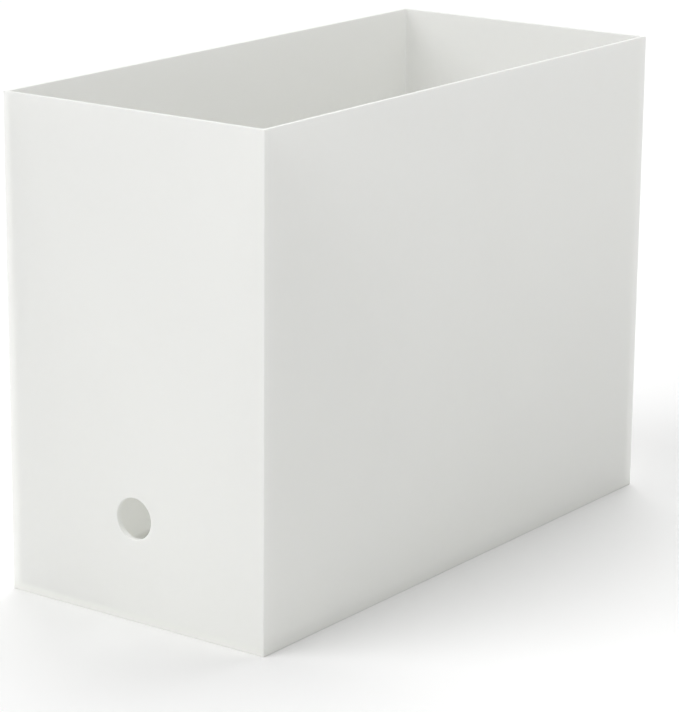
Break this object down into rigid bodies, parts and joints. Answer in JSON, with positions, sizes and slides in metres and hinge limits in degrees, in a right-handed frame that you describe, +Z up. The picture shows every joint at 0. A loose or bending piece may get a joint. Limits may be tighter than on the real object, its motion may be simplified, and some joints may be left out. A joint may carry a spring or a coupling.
{
  "type": "file box",
  "caption": "Tall open-topped rectangular plastic file box with thin straight walls and a round finger hole low in its narrow front wall.",
  "frame": {"origin": "centre of the footprint, on the surface that the box stands on", "axes": "+Z up towards the open top, +Y along the long sides away from the finger hole, +X across the width; the front wall with the finger hole faces -Y"},
  "size_m": [0.15, 0.32, 0.24],
  "materials": {
    "body": "fine matt moulded polypropylene, white with a faint warm grey cast"
  },
  "bodies": {
    "root": {"file_box": "body"}
  },
  "joints": []
}
